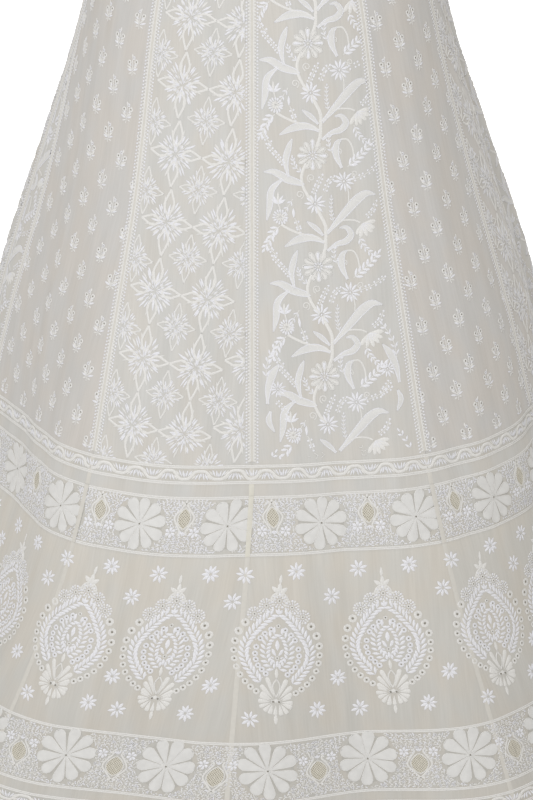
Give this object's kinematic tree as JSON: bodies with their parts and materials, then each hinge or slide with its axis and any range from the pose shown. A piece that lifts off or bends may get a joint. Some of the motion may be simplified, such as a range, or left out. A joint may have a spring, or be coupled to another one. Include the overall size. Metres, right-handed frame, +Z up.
{
  "type": "chikankari lehenga skirt",
  "caption": "Long flared lehenga skirt worn round a hollow, with sewn kalis, soft back folds and a waistband.",
  "frame": {"origin": "middle of the waist opening, level with the waistband's top edge", "axes": "+Z up out of the waist, -Y the front of the skirt, +X to the viewer's right (the wearer's left)"},
  "size_m": [0.9629, 0.8454, 1.08],
  "materials": {
    "georgette": "ivory crinkled georgette with white thread embroidery",
    "waistband": "ivory cloth, matte"
  },
  "bodies": {
    "root": {"kali_01_vine": "georgette", "kali_02_sprig": "georgette", "kali_03_star": "georgette", "kali_04_vine": "georgette", "kali_05_sprig": "georgette", "kali_06_star": "georgette", "kali_07_vine": "georgette", "kali_08_sprig": "georgette", "kali_09_star": "georgette", "kali_10_vine": "georgette", "kali_11_sprig": "georgette", "kali_12_star": "georgette", "waistband": "waistband"}
  },
  "joints": []
}
